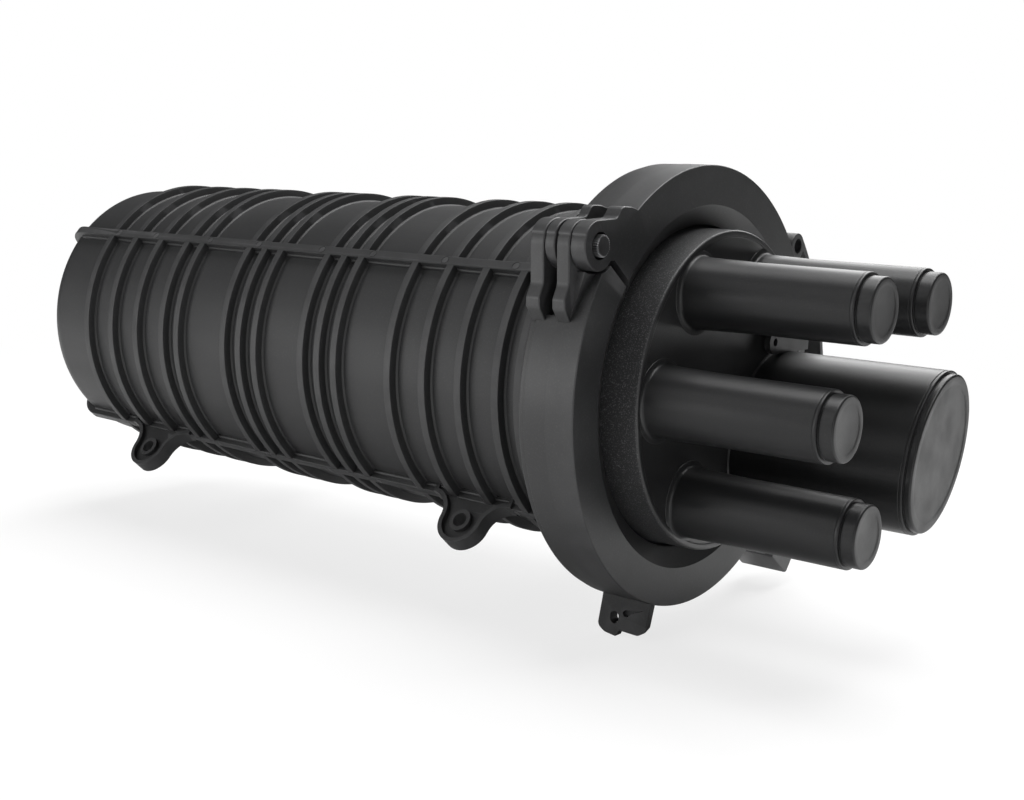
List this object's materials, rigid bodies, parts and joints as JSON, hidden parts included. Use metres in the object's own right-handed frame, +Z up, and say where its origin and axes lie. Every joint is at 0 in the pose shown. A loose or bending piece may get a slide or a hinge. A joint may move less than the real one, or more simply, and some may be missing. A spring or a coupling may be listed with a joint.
{
  "type": "fibre splice closure",
  "caption": "Lying dome closure for fibre splices: ribbed dome with ears, hinged ring clamp with pin and latch lever, and a base with closed round and oval cable ports.",
  "frame": {"origin": "middle of the closure's outline seen from above, at the level of its lowest point, the foot", "axes": "+X along the closure towards its cable ports, +Z up, +Y towards the latch side"},
  "size_m": [0.4982, 0.2312, 0.2134],
  "materials": {
    "dome_plastic": "black moulded plastic, fine matt texture",
    "base_plastic": "black moulded plastic, half matt",
    "clamp_plastic": "black glass-filled plastic, matt",
    "pin_steel": "turned stainless steel",
    "seal_rubber": "smooth black rubber",
    "carrier_metal": "rolled sheet",
    "tray_plastic": "light grey moulded plastic",
    "holder_plastic": "dark soft plastic",
    "brass": "turned brass",
    "strap_fabric": "woven black tape"
  },
  "bodies": {
    "root": {"base": "base_plastic", "dome": "dome_plastic", "seal_ring": "seal_rubber", "clamp_lower": "clamp_plastic", "hinge_pin": "pin_steel", "tray_carrier": "carrier_metal", "carrier_screws": "pin_steel", "slack_basket": "tray_plastic", "basket_screws": "pin_steel", "clamp_screws": "pin_steel", "earth_stud": "brass", "earth_nut": "brass", "tray_riser": "tray_plastic", "tray_rods": "pin_steel", "tray_cover": "tray_plastic", "tray_strap": "strap_fabric", "strength_clamp_near": "carrier_metal", "strength_clamp_far": "carrier_metal", "splice_tray_1": "tray_plastic", "splice_tray_2": "tray_plastic", "splice_tray_3": "tray_plastic", "splice_tray_4": "tray_plastic", "splice_holder_1": "holder_plastic", "splice_holder_2": "holder_plastic", "splice_holder_3": "holder_plastic", "splice_holder_4": "holder_plastic"},
    "clamp_half": {"clamp_upper": "clamp_plastic", "latch_pin": "pin_steel"},
    "latch": {"latch_lever": "clamp_plastic"}
  },
  "joints": [
    {"name": "clamp_swing", "type": "hinge", "parent": "root", "child": "clamp_half", "pos_m": [0.13685, -0.09885, 0.1787], "axis": [1, 0, 0], "range_deg": [0, 95]},
    {"name": "latch_swing", "type": "hinge", "parent": "clamp_half", "child": "latch", "pos_m": [0.13685, 0.07437, 0.17629], "axis": [1, 0, 0], "range_deg": [0, 95]}
  ],
  "couplings": [
    {"joint": "latch_swing", "follows": "clamp_swing", "ratio": 1}
  ]
}
